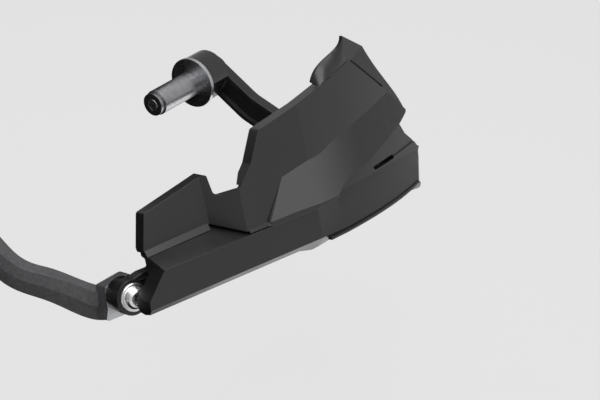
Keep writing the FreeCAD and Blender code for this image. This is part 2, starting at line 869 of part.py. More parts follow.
def front_bar():
    """The straight part with the inner eye, in the guard frame."""
    x0, z0 = size("eye_x"), size("eye_z")
    height = size("bar_height")
    front = -size("backbone_front")
    end = size("twist_start")
    upper = [(end, height + HALF_TALL), (x0 + 9, height + HALF_TALL), (x0, z0 + HALF_TALL)]
    lower = [(x0, z0 - HALF_TALL), (x0 + 9, height - HALF_TALL), (end, height - HALF_TALL)]
    bar = polygon_face([Vector(x, front, z) for x, z in upper + lower]).extrude(Vector(0, THICK, 0))
    eye = cylinder(size("inner_eye_radius"), THICK, Vector(x0, front, z0), Vector(0, 1, 0))
    shape = bar.fuse(eye)
    corners = [(x0, -WEB_HALF), (x0, WEB_HALF), (end, WEB_HALF), (end, -WEB_HALF)]
    pads = [cylinder(size("inner_eye_radius") - 1, 60, Vector(x0, -20, z0), Vector(0, 1, 0))]
    for x in SHELL_FIXINGS:
        pads.append(cylinder(size("shell_boss_radius") + 1, 60, Vector(x, -20, height), Vector(0, 1, 0)))
    for y in (front, front + THICK - RECESS):
        pocket = polygon_face([Vector(x, y, height + h) for x, h in corners]).extrude(Vector(0, RECESS, 0))
        pocket = pocket.cut(Part.makeCompound(pads))
        shape = shape.cut(pocket)
    holes = [cylinder(size("bolt_bore"), 60, Vector(x0, -20, z0), Vector(0, 1, 0))]
    for x in SHELL_FIXINGS:
        holes.append(cylinder(size("shell_screw_radius") + GAP, 60, Vector(x, -20, height), Vector(0, 1, 0)))
    return shape.cut(Part.makeCompound(holes))


def rear_leg(start_y, start_z):
    """The leg back to the bar end, with the outer eye, cut from one plate."""
    bend = (size("leg_bend_y"), size("leg_bend_z"))
    line = [(start_y, start_z), (start_y + size("leg_level"), start_z), bend, (0, 0)]
    x0 = size("outer_eye_x")
    leg = Part.Face(strip(line, HALF_TALL, 30)).extrude(Vector(THICK, 0, 0))
    eye = cylinder(size("outer_eye_radius"), THICK, Vector(0, 0, 0), Vector(1, 0, 0))
    shape = leg.fuse(eye)
    share = 1 - (size("outer_eye_radius") + 3) / math.hypot(*bend)
    inner = line[:3] + [(bend[0] * (1 - share), bend[1] * (1 - share))]
    pocket = Part.Face(strip(inner, WEB_HALF, 30)).extrude(Vector(RECESS, 0, 0))
    far = pocket.copy()
    far.translate(Vector(THICK - RECESS, 0, 0))
    bore = cylinder(size("bolt_bore"), THICK, Vector(0, 0, 0), Vector(1, 0, 0))
    shape = shape.cut(Part.makeCompound([pocket, far, bore]))
    shape.translate(Vector(x0, 0, 0))
    return shape


def backbone():
    """One forging: the front bar, a twist to upright, the corner and the rear leg."""
    bar = front_bar()
    bar.Placement = guard
    middle = Vector(0, backbone_middle, size("bar_height"))
    upright = level.inverse().multVec(guard.multVec(middle))
    radius = size("corner_radius")
    heading = math.radians(size("face_heading"))
    leg_x = size("outer_eye_x") + THICK / 2
    across = leg_x - radius - size("pivot_x") - math.sin(heading) * (upright.y + radius)
    corner_x = across / math.cos(heading)
    first = beam_section(guard, size("twist_start"), middle.y, middle.z)
    last = beam_section(level, corner_x, upright.y, upright.z)
    wires = [Part.makePolygon(points + [points[0]]) for points in (first, last)]
    twist = Part.makeLoft(wires, True, True)
    centre = level.multVec(Vector(corner_x, upright.y + radius, upright.z))
    corner = Part.Face(wires[1]).revolve(centre, Vector(0, 0, 1), 90 + size("face_heading"))
    return fuse([bar, twist, corner, rear_leg(centre.y, centre.z)])


# Cast arm and its clamp

clamp = Placement(Vector(size("clamp_x"), 0, 0), Rotation(Vector(1, 0, 0), size("clamp_pitch") - 90))
clamp_outer = size("bar_radius") + size("clamp_wall")
lug_reach = size("clamp_screw_offset") + size("clamp_screw_radius") + 3.5
lug_top = size("clamp_gap") / 2 + size("clamp_lug")


def clamp_half(side, grip):
    """Half of the clamp in its own frame: side 1 is the cap, side -1 belongs to the arm."""
    width = size("clamp_width")
    base = Vector(-width / 2, 0, 0)
    ring_part = cylinder(clamp_outer, width, base, Vector(1, 0, 0))
    low = min(side * size("clamp_gap") / 2, side * lug_top)
    lugs = Part.makeBox(width, 2 * lug_reach, size("clamp_lug"), Vector(-width / 2, -lug_reach, low))
    keep_low = size("clamp_gap") / 2 if side > 0 else -60
    room = Part.makeBox(width, 120, 60 - size("clamp_gap") / 2, Vector(-width / 2, -60, keep_low))
    shape = ring_part.fuse(lugs.makeFillet(3, [e for e in lugs.Edges if abs(e.tangentAt(0).z) > 0.9]))
    shape = shape.common(room)
    cuts = [cylinder(size("bar_radius"), width, base, Vector(1, 0, 0))]
    for y in (-size("clamp_screw_offset"), size("clamp_screw_offset")):
        cuts.append(cylinder(grip, 60, Vector(0, y, min(0, side * 60)), Vector(0, 0, 1)))
        if side > 0:
            seat_radius = size("clamp_washer_radius") + 2 * GAP
            cuts.append(cylinder(seat_radius, 30, Vector(0, y, lug_top), Vector(0, 0, 1)))
    return shape.cut(Part.makeCompound(cuts))


def arm_section(place, ahead, wide, tall):
    """Six-sided section across the arm, ridged along both sides."""
    side = Vector(ahead.y, -ahead.x, 0).normalize()
    up = side.cross(ahead).normalize()
    outline = [(0.36, -0.5), (0.5, 0.06), (0.36, 0.5), (-0.36, 0.5), (-0.5, 0.06), (-0.36, -0.5)]
    points = [place + side * (a * wide) + up * (b * tall) for a, b in outline]
    return Part.makePolygon(points + [points[0]])


# Front view of the end plate, with each corner's radius
END_PLATE = [(-12.6, -14.2, 1.5), (-9.8, -7.5, 3.0), (-8.3, 6.3, 1.0), (12.0, 9.0, 4.0), (12.0, -14.5, 6.0)]
plate_front = -size("backbone_front") + THICK + size("pivot_spacer_length")


def end_plate():
    """The plate that the pivot screw is threaded into, in the guard frame."""
    wire = rounded_wire([Vector(x, plate_front, z) for x, z, r in END_PLATE], [r for x, z, r in END_PLATE])
    return Part.Face(wire).extrude(Vector(0, size("end_plate_thick"), 0))


# Middle line of the arm from the clamp to the end plate, with its width and height on the way
ARM_LINE = [
    (Vector(-222.0, -11.0, -11.0), 16.0, 16.0),
    (Vector(-220.5, -26.0, -16.0), 13.0, 16.0),
    (Vector(-216.0, -40.0, -29.0), 12.0, 16.5),
    (Vector(-207.5, -53.0, -35.5), 12.0, 17.0),
    (Vector(-197.0, -64.5, -44.5), 12.0, 17.5),
    (Vector(-185.0, -74.5, -54.0), 12.0, 19.0),
    (Vector(-182.0, -83.5, -51.0), 12.0, 17.0),
]


def inner_arm():
    """One casting: half of the clamp, the ridged arm and the end plate."""
    half = clamp_half(-1, size("clamp_screw_radius") + size("thread_gap"))
    half.Placement = clamp
    wires = []
    last = len(ARM_LINE) - 1
    for i, (place, wide, tall) in enumerate(ARM_LINE):
        ahead = (ARM_LINE[min(i + 1, last)][0] - ARM_LINE[max(i - 1, 0)][0]).normalize()
        wires.append(arm_section(place, ahead, wide, tall))
    arm = Part.makeLoft(wires, True, False)
    bar = cylinder(size("bar_radius"), 80, Vector(size("clamp_x") - 40, 0, 0), Vector(1, 0, 0))
    ahead = Part.makeBox(100, 60, 120, Vector(-50, plate_front - 60, -60))
    plate = end_plate()
    for shape in (ahead, plate):
        shape.Placement = guard
    thread = size("thread_radius") + size("thread_gap")
    bore = cylinder(thread, 80, Vector(size("eye_x"), 0, size("eye_z")), Vector(0, 1, 0))
    bore.Placement = guard
    return fuse([half, arm.cut(Part.makeCompound([bar, ahead])), plate]).cut(bore)


# Pivot screw and what it holds


def on_pivot(y, forward=False):
    """Placement on the pivot axis at y in the guard frame, +Z into the guard or forward."""
    along = Vector(0, -1 if forward else 1, 0)
    return guard * Placement(Vector(size("eye_x"), y, size("eye_z")), Rotation(Vector(0, 0, 1), along))


def pivot_pieces():
    """The screw, which the arm's tapped end takes, and the spacer on it."""
    grip = "backbone_thick + pivot_spacer_length + end_plate_thick"
    top = "collar_thick + button_tall"
    collar = cap_head("collar_radius", "collar_thick")
    head = collar + button_head("button_radius", "button_tall", "collar_thick")
    bolt = screw("pivot_screw", "thread_radius", grip, head)
    socket(bolt, ["lobe_outer", "lobe_inner"], top, "recess_depth")
    spacer = ring("pivot_spacer", "bolt_bore", "pivot_spacer_radius", "pivot_spacer_length")
    front = -size("backbone_front")
    place_node(bolt, on_pivot(front, forward=True))
    place_node(spacer, on_pivot(front + THICK))


# Bar end


def on_bar(x):
    """Placement on the handlebar axis at x, +Z towards the bar's free end."""
    return Placement(Vector(x, 0, 0), Rotation(Vector(0, 0, 1), Vector(1, 0, 0)))


def bar_end_pieces():
    """The ring, the flatted spacer, the washer, the bolt and the expander in the bar."""
    place_node(ring("bar_end_ring", "bolt_bore", "ring_radius", "ring_thick"), on_bar(0))
    blank = ring("spacer_blank", "bolt_bore", "spacer_radius", "outer_eye_x - ring_thick")
    tall = "outer_eye_x - ring_thick"
    flat = primitive("Box", "spacer_flat_cutter", Length="2 * spacer_radius", Width="spacer_radius", Height=tall)
    flat.Placement = Placement(Vector(-size("spacer_radius"), size("spacer_flat"), 0), Rotation())
    spacer = combine("Cut", "bar_end_spacer", blank, flat)
    turn = Rotation(Vector(1, 0, 0), size("spacer_flat_turn"))
    place_node(spacer, Placement(Vector(size("ring_thick"), 0, 0), turn * on_bar(0).Rotation))
    outside = size("outer_eye_x") + THICK
    place_node(ring("bar_end_washer", "bolt_bore", "washer_radius", "washer_thick"), on_bar(outside))
    length = "outer_eye_x + backbone_thick + washer_thick + sleeve_length + cone_past_sleeve"
    bolt = screw("bar_end_bolt", "thread_radius", length, button_head("bolt_head_radius", "bolt_head_tall"))
    socket(bolt, ["bolt_hex"], "bolt_head_tall", "bolt_hex_depth")
    place_node(bolt, on_bar(outside + size("washer_thick")))
    share = "(cone_length - cone_past_sleeve) / cone_length"
    mouth = f"cone_small_radius + (cone_large_radius - cone_small_radius) * {share} + thread_gap"
    root = "cone_length - cone_past_sleeve + clearance"
    sleeve = turned("sleeve_turning", [
        (mouth, "0"),
        ("bar_inner_radius", "0"),
        ("bar_inner_radius", "sleeve_length"),
        ("bolt_bore", "sleeve_length"),
        ("bolt_bore", root),
        ("cone_small_radius + thread_gap", root),
    ])
    slit = primitive(
        "Box", "sleeve_slit_cutter",
        Length="bar_inner_radius + 1", Width="sleeve_slit", Height="sleeve_length - slit_root",
    )
    slit.Placement = Placement(Vector(0, -size("sleeve_slit") / 2, 0), Rotation())
    place_node(combine("Cut", "expander_sleeve", sleeve, slit), on_bar(-size("sleeve_length")))
    cone = turned("expander_cone", [
        ("thread_radius + thread_gap", "0"),
        ("cone_large_radius", "0"),
        ("cone_small_radius", "cone_length"),
        ("thread_radius + thread_gap", "cone_length"),
    ])
    place_node(cone, on_bar(-size("sleeve_length") - size("cone_past_sleeve")))


# Screws, washers and inserts that come in groups


def clamp_fixings():
    """The two screws and washers that close the clamp, from the cap's side."""
    reach = "clamp_washer_thick + clamp_lug + clamp_gap + clamp_screw_grip"
    bolt = screw("clamp_screw", "clamp_screw_radius", reach, cap_head("clamp_head_radius", "clamp_head_tall"))
    socket(bolt, ["clamp_hex"], "clamp_head_tall", "clamp_hex_depth")
    washer = ring("clamp_washer", "clamp_screw_radius + clearance", "clamp_washer_radius", "clamp_washer_thick")
    seats = []
    for y in (-size("clamp_screw_offset"), size("clamp_screw_offset")):
        seats.append(clamp * Placement(Vector(0, y, lug_top), Rotation()))
    lift = Placement(Vector(0, 0, size("clamp_washer_thick")), Rotation())
    group("clamp_screws", bolt, [seat * lift for seat in seats])
    group("clamp_washers", washer, seats)


def moulding_fixings(name, hold, seats):
    """Screws, washers and inserts of one moulding; hold is what lies between washer and insert."""
    radius = name + "_screw_radius"
    length = f"small_washer_thick + {hold} + {name}_insert_length - chamfer"
    bolt = screw(name + "_screw", radius, length, cap_head(name + "_head_radius", name + "_head_tall"))
    socket(bolt, ["small_hex"], name + "_head_tall", "small_hex_depth")
    washer = ring(name + "_washer", radius + " + clearance", name + "_washer_radius", "small_washer_thick")
    insert = ring(name + "_insert", radius + " + thread_gap", name + "_insert_radius", name + "_insert_length")
    lift = Placement(Vector(0, 0, size("small_washer_thick")), Rotation())
    sink = Placement(Vector(0, 0, -value_of(f"{hold} + {name}_insert_length")), Rotation())
    group(name + "_screws", bolt, [seat * lift for seat in seats])
    group(name + "_washers", washer, seats)
    group(name + "_inserts", insert, [seat * sink for seat in seats])


keep("guard_shell", guard_shell(), guard)
keep("wind_deflector", wind_deflector(), guard)
keep("backbone", backbone())
keep("inner_arm", inner_arm())
keep("clamp_cap", clamp_half(1, size("clamp_screw_radius") + GAP), clamp)
pivot_pieces()
bar_end_pieces()
clamp_fixings()
behind_bar = backbone_depth + THICK
moulding_fixings("shell", "backbone_thick", [guard * spot(x, size("bar_height"), behind_bar) for x in SHELL_FIXINGS])
moulding_fixings("deflector", "0", [guard * spot(x, z, boss_top(x)) for x, z in DEFLECTOR_FIXINGS])


def check():
    for item in doc.Objects:
        if "Invalid" in item.State or "Error" in item.State:
            raise RuntimeError(f"{item.Label} failed")
    for item in nodes:
        if item.Shape.isNull() or not item.Shape.isValid():
            raise RuntimeError(f"{item.Label} has no valid shape")


doc.recompute()
check()
os.makedirs("parts", exist_ok=True)
for item in nodes:
    item.Shape.exportStep(f"parts/{item.Label}.step")
    print(item.Label, len(item.Shape.Solids), round(item.Shape.Volume))
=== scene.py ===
"""Motorcycle hand guard: the finishes, the deflector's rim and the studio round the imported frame."""

import math

import bmesh
import bpy
from mathutils import Matrix, Vector


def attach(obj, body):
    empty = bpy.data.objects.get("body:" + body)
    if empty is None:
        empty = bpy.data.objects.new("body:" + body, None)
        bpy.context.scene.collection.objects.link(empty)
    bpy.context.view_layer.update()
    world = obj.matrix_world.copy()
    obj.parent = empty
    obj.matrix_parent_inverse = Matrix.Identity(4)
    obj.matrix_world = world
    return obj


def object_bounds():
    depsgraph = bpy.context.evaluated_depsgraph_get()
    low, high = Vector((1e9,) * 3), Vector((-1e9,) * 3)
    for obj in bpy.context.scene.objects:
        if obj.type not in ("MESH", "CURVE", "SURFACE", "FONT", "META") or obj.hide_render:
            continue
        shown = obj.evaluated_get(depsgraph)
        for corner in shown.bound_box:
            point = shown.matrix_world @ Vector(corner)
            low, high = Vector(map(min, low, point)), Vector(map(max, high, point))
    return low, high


bl_info = {
    "name": "Motorcycle hand guard",
    "version": (1, 0, 0),
    "blender": (4, 5, 0),
    "location": "View3D > Sidebar > Hand guard",
    "description": "Finishes the pieces of a motorcycle hand guard and sets its studio",
    "category": "Object",
}

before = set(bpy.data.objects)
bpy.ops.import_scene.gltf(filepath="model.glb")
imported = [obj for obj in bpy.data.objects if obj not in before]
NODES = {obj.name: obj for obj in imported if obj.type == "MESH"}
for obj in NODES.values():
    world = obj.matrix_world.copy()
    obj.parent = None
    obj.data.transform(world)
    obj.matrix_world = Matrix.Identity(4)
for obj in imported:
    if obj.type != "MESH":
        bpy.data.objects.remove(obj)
CAD_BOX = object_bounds()

MM = 0.001

# The guard's own frame in the row: it starts on the pivot screw's axis, with x outboard, y in and z up
PIVOT = Vector((-0.1867, -0.104, -0.0375))
FACE_HEADING = math.radians(16)
FACE_LEAN = math.radians(17)
GUARD = (
    Matrix.Translation(PIVOT)
    @ Matrix.Rotation(-FACE_HEADING, 4, "Z")
    @ Matrix.Rotation(-FACE_LEAN, 4, "X")
)
OUTBOARD = GUARD.to_3x3() @ Vector((1, 0, 0))
AHEAD = GUARD.to_3x3() @ Vector((0, -1, 0))

# The deflector's raised band tips forward by this angle. A face belongs to it whose tip is within these
# shares of the angle, and whose normal points ahead by at least this much
BAND_ANGLE = math.radians(6)
BAND_SHARES = (0.6, 1.4)
BAND_AHEAD = 0.7
# The normal of the step up to the band points inboard by at least this much. The step's faces take the band's
# paler colour, painted light on a wall that lies in shade. The step lies between two distances outboard and
# two heights, and ahead of what else faces that way there, in mm
STEP_INBOARD = 0.6
STEP_ALONG = (84, 112)
STEP_HEIGHTS = (17, 60)
STEP_FRONT = -17
# How far outboard of the pivot the band's painted sheen, its paler colour, starts to fade into the
# deflector's own colour, and where it ends
BAND_PAINTED_SHEEN_FADE = (120 * MM, 178 * MM)
# The normal of the arm's milled face points ahead by at least this much
MILLED_AHEAD = 0.999

# Sections of the deflector's lower rim in the guard's frame, in mm: distance outboard, front at the top,
# front at the foot, rear of the lap over the shell, top and bottom
RIM = (
    (76.3, -19.0, -19.8, -19.3, 17.9, 15.6),
    (90.2, -19.0, -19.8, -19.3, 18.2, 15.6),
    (92.5, -21.0, -21.1, -20.1, 18.4, 14.6),
    (128.0, -21.6, -21.6, -20.1, 18.0, 14.5),
    (134.0, -20.9, -20.9, -19.6, 17.8, 14.5),
    (140.0, -20.1, -20.1, -18.8, 17.5, 14.7),
    (147.0, -19.2, -19.2, -18.0, 17.1, 15.1),
)
# The rim's underside clears the shell's edge at the first height, or just over the rim's bottom where that
# is higher, and rises to the rear
RIM_SEAT = 15.45
RIM_SEAT_OVER = 0.05
RIM_SEAT_RISE = 0.75
# Height of the rim's upright foot, its thickness at the top and the chamfer under its front
RIM_FOOT = 1.0
RIM_THICK = 1.0
RIM_CHAMFER = 0.4

# The tool's rings are about a tenth of a millimetre apart in life, and are drawn coarser so that they show
RING_PITCH = 0.5 * MM

# Half the floor's side in metres, its paper, the colour of the backdrop, and that colour's share in what
# is seen of the floor
FLOOR_SIZE = 6.0
FLOOR_PAPER = "#efefef"
BACKDROP = "#e2e2e2"
FLOOR_SHOWS = 0.92
# The room's colour, where it is brightest, and how bright it is on the other side as a share of that
ROOM_GREY = "#ffffff"
ROOM_BRIGHT = Vector((0.45, -0.89, 0.0))
ROOM_DIM = 0.5
# Each softbox's name, the setting of its power, its size and its place from the guard's middle, in metres
SOFTBOXES = (
    ("overhead_softbox", "overhead", 0.9, (-0.05, -0.1, 0.85)),
    ("front_softbox", "front", 0.5, (-0.2, -0.9, 0.6)),
    ("rear_softbox", "rear", 0.4, (0.25, 0.55, 0.75)),
)
# Size of the softbox that faces up from the floor, and how high it lies
FLOOR_BOX_SIZE = 0.3
FLOOR_BOX_LIFT = 2 * MM
# The black card, in metres: how high its mats lie, where its wall stands, and how far past the guard's two
# ends it goes
CARD_CLOTH = "#080808"
CARD_LIFT = 1 * MM
CARD_BACK = 0.05
CARD_INBOARD = 0.6
CARD_OUTBOARD = -0.03
# The wall's low stretch from the guard's inboard end, its top over the guard's lowest point, and the outboard
# stretch's top over the guard's highest point
CARD_LOW_STRETCH = (0.105, 0.165)
CARD_LOW_TOP = 0.07
CARD_OVER = 0.02
# Where the two mats meet, from the guard's inboard end, and their front edges from the guard's foremost point
MAT_SPLIT = 0.09
MAT_FRONTS = (-0.03, 0.07)

# The camera's sensor in mm, and the nearest that it sees in metres
SENSOR_WIDTH = 36
CLIP_START = 0.01


def linear(hex_colour):
    """An sRGB hex colour as linear red, green, blue and alpha."""
    channels = [int(hex_colour[i:i + 2], 16) / 255 for i in (1, 3, 5)]
    return [c / 12.92 if c <= 0.04045 else ((c + 0.055) / 1.055) ** 2.4 for c in channels] + [1.0]


# Settings that a user would change


class GuardFinishes(bpy.types.PropertyGroup):
    """Colours of the finishes, as sRGB hex, and the size of the moulded grain."""

    shell_black: bpy.props.StringProperty(
        name="Shell black", description="Colour of the grained shell", default="#151516")
    deflector_black: bpy.props.StringProperty(
        name="Deflector black", description="Colour of the smoother deflector", default="#1a1a1b")
    # The band's colour is painted paler than the deflector's: a painted sheen for the light that its tipped
    # face catches
    band_painted_sheen: bpy.props.StringProperty(
        name="Band black", description="Colour of the deflector's raised band", default="#454546")
    coat_black: bpy.props.StringProperty(
        name="Powder coat", description="Colour of the coated forging", default="#171718")
    anodised_black: bpy.props.StringProperty(
        name="Anodised black", description="Colour of the turned spacers", default="#121213")
    cast_grey: bpy.props.StringProperty(
        name="Cast grey", description="Colour of the coated casting", default="#49494b")
    grain: bpy.props.FloatProperty(
        name="Grain", description="Spacing of the moulded grain, drawn coarser than it is so that it shows",
        default=0.6 * MM, min=0.1 * MM, max=3 * MM, subtype="DISTANCE", unit="LENGTH")


class GuardEdges(bpy.types.PropertyGroup):
    """Widths of the broken edges."""

    moulded: bpy.props.FloatProperty(
        name="Moulded edge", description="Width of the rounding on a moulding's edges", default=0.4 * MM,
        min=0, max=2 * MM, subtype="DISTANCE", unit="LENGTH")
    forged: bpy.props.FloatProperty(
        name="Forged edge", description="Width of the rounding on the forging and the casting",
        default=0.9 * MM, min=0, max=3 * MM, subtype="DISTANCE", unit="LENGTH")
    turned: bpy.props.FloatProperty(
        name="Turned edge", description="Width of the chamfer on turned pieces", default=0.25 * MM,
        min=0, max=1 * MM, subtype="DISTANCE", unit="LENGTH")


class GuardStudio(bpy.types.PropertyGroup):
    """The camera and the light."""

    camera_place: bpy.props.FloatVectorProperty(
        name="Camera place", description="Place of the camera in the frame", size=3,
        default=(-0.710, -0.5899, 0.4366), subtype="TRANSLATION", unit="LENGTH")
    azimuth: bpy.props.FloatProperty(
        name="Azimuth", description="Turn of the camera from looking along +Y", default=math.radians(55),
        subtype="ANGLE", unit="ROTATION")
    elevation: bpy.props.FloatProperty(
        name="Elevation", description="How far the camera looks down", default=math.radians(30),
        subtype="ANGLE", unit="ROTATION")
    lens: bpy.props.FloatProperty(
        name="Lens", description="Focal length on a sensor 36 mm wide", default=87.0, min=20, max=200,
        subtype="DISTANCE_CAMERA", unit="CAMERA")
    floor_drop: bpy.props.FloatProperty(
        name="Floor drop", description="How far the floor lies below the guard", default=0.12, min=0, max=1,
        subtype="DISTANCE", unit="LENGTH")
    overhead: bpy.props.FloatProperty(
        name="Overhead lamp", description="Power of the overhead softbox", default=7.0,
        min=0, max=100, unit="POWER")
    front: bpy.props.FloatProperty(
        name="Front lamp", description="Power of the softbox in front of the guard", default=2.0,
        min=0, max=100, unit="POWER")
    rear: bpy.props.FloatProperty(
        name="Rear lamp", description="Power of the softbox behind the guard", default=1.4,
        min=0, max=100, unit="POWER")
    below: bpy.props.FloatProperty(
        name="Floor lamp", description="Power of the softbox on the floor, which lights the undersides",
        default=0.3, min=0, max=100, unit="POWER")
    room: bpy.props.FloatProperty(
        name="Room", description="Brightness of the grey room at its brightest", default=0.68, min=0, max=2)


# Materials


def add_node(tree, kind, values=None, **settings):
    """Adds a node, sets its properties, and sets its inputs or links them to the sockets given."""
    node = tree.nodes.new(kind)
    for name, value in settings.items():
        setattr(node, name, value)
    for name, value in (values or {}).items():
        if isinstance(value, bpy.types.NodeSocket):
            tree.links.new(value, node.inputs[name])
        else:
            node.inputs[name].default_value = value
    return node


def new_material(name):
    """A material and its tree, which is empty."""
    material = bpy.data.materials.new(name)
    material.use_nodes = True
    material.node_tree.nodes.clear()
    return material, material.node_tree


def own_place(tree):
    """Where a point of the surface is in the row, in metres."""
    return add_node(tree, "ShaderNodeTexCoord").outputs["Object"]


def broken_edge(tree, width):
    """The normal of a surface whose edges are rounded over that width."""
    return add_node(tree, "ShaderNodeBevel", {"Radius": width}, samples=6).outputs["Normal"]


def finish_material(material, tree, shader_values):
    """Closes the tree with a Principled shader of those values."""
    shader = add_node(tree, "ShaderNodeBsdfPrincipled", shader_values)
    add_node(tree, "ShaderNodeOutputMaterial", {"Surface": shader.outputs["BSDF"]})
    return material


def varied(tree, place, size, low, high, detail=2.0):
    """A number that drifts between low and high over a noise pattern of that size in metres."""
    noise = add_node(tree, "ShaderNodeTexNoise", {"Vector": place, "Scale": 1 / size, "Detail": detail})
    spread = add_node(
        tree, "ShaderNodeMapRange",
        {"Value": noise.outputs["Fac"], "From Min": 0.3, "From Max": 0.7, "To Min": low, "To Max": high})
    return spread.outputs["Result"]


def tinted(tree, place, size, first, second):
    """A colour that drifts between two over a noise pattern of that size in metres."""
    share = varied(tree, place, size, 0.0, 1.0, detail=4.0)
    mix = add_node(tree, "ShaderNodeMix", {0: share, 6: linear(first), 7: linear(second)}, data_type="RGBA")
    return mix.outputs[2]


def outboard(tree, place, start, end):
    """A number from 0 to 1 between two distances from the pivot, measured outboard along the guard."""
    offset = add_node(tree, "ShaderNodeVectorMath", {0: place, 1: PIVOT}, operation="SUBTRACT")
    reach = add_node(
        tree, "ShaderNodeVectorMath", {0: offset.outputs["Vector"], 1: OUTBOARD}, operation="DOT_PRODUCT")
    share = add_node(
        tree, "ShaderNodeMapRange", {"Value": reach.outputs["Value"], "From Min": start, "From Max": end},
        interpolation_type="SMOOTHSTEP")
    return share.outputs["Result"]


def rippled(tree, place, normal, size, detail, depth, strength):
    """That normal, rippled to a depth over a noise pattern of that size in metres."""
    noise = add_node(tree, "ShaderNodeTexNoise", {"Vector": place, "Scale": 1 / size, "Detail": detail})
    bump = add_node(
        tree, "ShaderNodeBump",
        {"Height": noise.outputs["Fac"], "Strength": strength, "Distance": depth, "Normal": normal})
    return bump.outputs["Normal"]


def moulded_polypropylene(name, colour, shade, grain, depth, roughness, edge):
    """Black moulded polypropylene: a spark-eroded mould leaves a fine grain, which scatters highlights."""
    material, tree = new_material(name)
    place = own_place(tree)
    sunk = rippled(
        tree, place, broken_edge(tree, edge), size=12 * MM, detail=2.0, depth=0.4 * MM, strength=0.04)
    cells = add_node(
        tree, "ShaderNodeTexVoronoi", {"Vector": place, "Scale": 1 / grain}, feature="SMOOTH_F1")
    grained = add_node(
        tree, "ShaderNodeBump",
        {"Height": cells.outputs["Distance"], "Strength": 1.0, "Distance": depth, "Normal": sunk})
    return finish_material(material, tree, {
        "Base Color": tinted(tree, place, 35 * MM, colour, shade),
        "Roughness": varied(tree, place, 18 * MM, roughness - 0.03, roughness + 0.04),
        "IOR": 1.54,
        "Normal": grained.outputs["Normal"],
    })


def dull_band_with_painted_sheen(name, colour, shade, edge):
    """Polypropylene from a mould that is blasted dull, with a painted sheen: its colour is painted paler for
    the light it catches, most of all at its inboard end.
    """
    material, tree = new_material(name)
    place = own_place(tree)
    # Painted sheen: the paler colour inboard fades outboard into the shade colour
    colours = add_node(
        tree, "ShaderNodeMix",
        {0: outboard(tree, place, *BAND_PAINTED_SHEEN_FADE), 6: linear(colour), 7: linear(shade)}, data_type="RGBA")
    blasted = rippled(
        tree, place, broken_edge(tree, edge), size=0.7 * MM, detail=3.0, depth=0.03 * MM, strength=0.5)
    return finish_material(material, tree, {
        "Base Color": colours.outputs[2],
        "Roughness": varied(tree, place, 6 * MM, 0.48, 0.56),
        "IOR": 1.49,
        "Normal": blasted,
    })


def powder_coat(name, colour, shade, grain, mottle, roughness, edge):
    """Baked powder coat over metal: it flows out into the faint ripple of orange peel."""
    material, tree = new_material(name)
    place = own_place(tree)
    peel = rippled(
        tree, place, broken_edge(tree, edge), size=grain, detail=1.0, depth=0.05 * MM, strength=0.35)
    return finish_material(material, tree, {
        "Base Color": tinted(tree, place, mottle, colour, shade),
        "Roughness": varied(tree, place, 9 * MM, roughness - 0.04, roughness + 0.04),
        "IOR": 1.5,
        "Normal": peel,
    })


def turned_grooves(tree, place, depth, edge):
    """A normal ribbed by the tool's spiral, which runs round the row's x axis."""
    parts = add_node(tree, "ShaderNodeSeparateXYZ", {"Vector": place})
    flat = add_node(tree, "ShaderNodeCombineXYZ", {"Y": parts.outputs["Y"], "Z": parts.outputs["Z"]})
    radius = add_node(tree, "ShaderNodeVectorMath", {"Vector": flat.outputs["Vector"]}, operation="LENGTH")
    along = add_node(
        tree, "ShaderNodeMath", {0: radius.outputs["Value"], 1: parts.outputs["X"]}, operation="ADD")
    turn = 2 * math.pi / RING_PITCH
    wave = add_node(tree, "ShaderNodeMath", {0: along.outputs["Value"], 1: turn}, operation="MULTIPLY")
    rib = add_node(tree, "ShaderNodeMath", {0: wave.outputs["Value"]}, operation="SINE")
    smooth = broken_edge(tree, edge)
    bump = add_node(
        tree, "ShaderNodeBump",
        {"Height": rib.outputs["Value"], "Strength": 1.0, "Distance": depth, "Normal": smooth})
    return bump.outputs["Normal"]


def anodised_aluminium(name, colour, edge):
    """Turned aluminium dyed black by anodising: a deep satin black that keeps the tool's fine rings."""
    material, tree = new_material(name)
    place = own_place(tree)
    return finish_material(material, tree, {
        "Base Color": tinted(tree, place, 12 * MM, colour, "#19191a"),
        "Roughness": varied(tree, place, 5 * MM, 0.18, 0.26),
        "IOR": 1.6,
        "Normal": turned_grooves(tree, place, 0.004 * MM, edge),
    })


def bright_aluminium(name, edge):
    """Bare aluminium as it leaves the lathe or the mill: bright, with a soft brushed spread."""
    material, tree = new_material(name)
    place = own_place(tree)
    return finish_material(material, tree, {
        "Base Color": tinted(tree, place, 6 * MM, "#c9cacc", "#b4b5b8"),
        "Metallic": 1.0,
        "Roughness": varied(tree, place, 3 * MM, 0.26, 0.36),
        "Normal": turned_grooves(tree, place, 0.006 * MM, edge),
    })


def zinc_plate(name, edge):
    """Steel under bright zinc: pale, slightly cloudy from the passivating bath."""
    material, tree = new_material(name)
    place = own_place(tree)
    clouded = rippled(
        tree, place, broken_edge(tree, edge), size=0.8 * MM, detail=3.0, depth=0.03 * MM, strength=0.3)
    return finish_material(material, tree, {
        "Base Color": tinted(tree, place, 2 * MM, "#f0f0f0", "#e3e4e5"),
        "Metallic": 1.0,
        "Roughness": varied(tree, place, 1.5 * MM, 0.24, 0.36),
        "Normal": clouded,
    })


def black_oxide(name):
    """Steel blackened in a hot salt bath and oiled: dark, with a dull metal sheen."""
    material, tree = new_material(name)
    place = own_place(tree)
    return finish_material(material, tree, {
        "Base Color": tinted(tree, place, 2 * MM, "#35353a", "#28282b"),
        "Metallic": 1.0,
        "Roughness": varied(tree, place, 1.5 * MM, 0.34, 0.46),
    })


def turned_steel(name, edge):
    """Plain turned steel: grey, with the tool's rings."""
    material, tree = new_material(name)
    place = own_place(tree)
    return finish_material(material, tree, {
        "Base Color": tinted(tree, place, 4 * MM, "#a9a9ab", "#98989b"),
        "Metallic": 1.0,
        "Roughness": varied(tree, place, 3 * MM, 0.3, 0.4),
        "Normal": turned_grooves(tree, place, 0.006 * MM, edge),
    })


